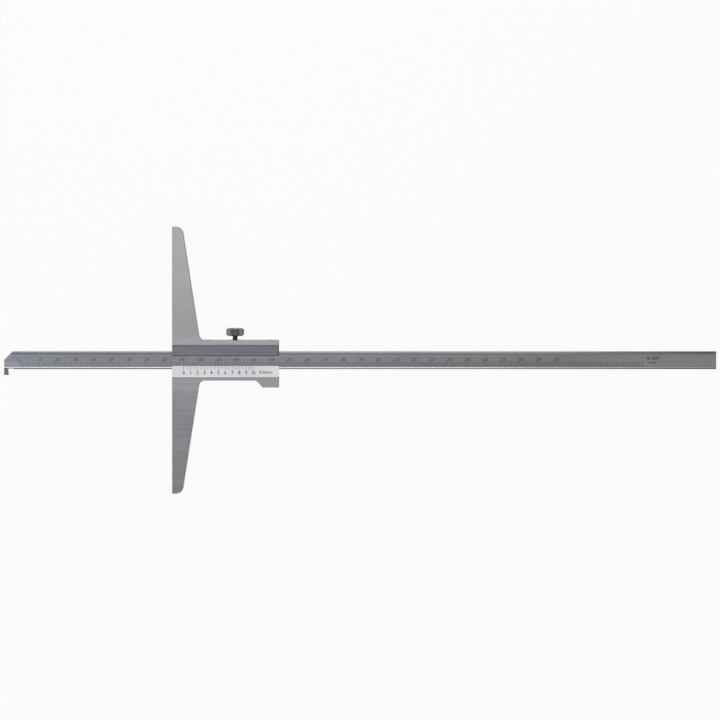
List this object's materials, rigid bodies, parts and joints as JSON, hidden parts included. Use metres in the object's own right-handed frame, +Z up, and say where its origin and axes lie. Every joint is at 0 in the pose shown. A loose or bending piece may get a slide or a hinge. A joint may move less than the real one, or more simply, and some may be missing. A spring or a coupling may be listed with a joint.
{
  "type": "hook depth gauge",
  "caption": "Flat steel depth gauge with a graduated beam that ends in a small hook, sliding through a long tapered base with a vernier and a knurled lock screw.",
  "frame": {"origin": "middle of the beam's length and width, on the surface that the gauge lies on, which the lock screw's head touches", "axes": "+X along the beam, away from the hook; +Y along the base, to the side of the lock screw; +Z up, out of the graduated face"},
  "size_m": [0.4, 0.15, 0.01],
  "materials": {
    "ground_steel": "fine ground, satin",
    "beam_steel": "fine ground, satin",
    "spring_bronze": "rolled",
    "blackened_steel": "blackened, turned"
  },
  "bodies": {
    "base": {"frame": "ground_steel", "gib_spring": "spring_bronze", "gib_screw_left": "blackened_steel", "gib_screw_right": "blackened_steel"},
    "beam": {"beam": "beam_steel"},
    "lock_screw": {"lock_screw": "blackened_steel"}
  },
  "joints": [
    {"name": "depth_slide", "type": "slide", "parent": "base", "child": "beam", "axis": [-1, 0, 0], "range_m": [-0.0918, 0.2081]},
    {"name": "lock_screw_turn", "type": "hinge", "parent": "base", "child": "lock_screw", "pos_m": [-0.0703, 0.0136, 0.005], "axis": [0, 1, 0], "range_deg": [0, 720]}
  ]
}
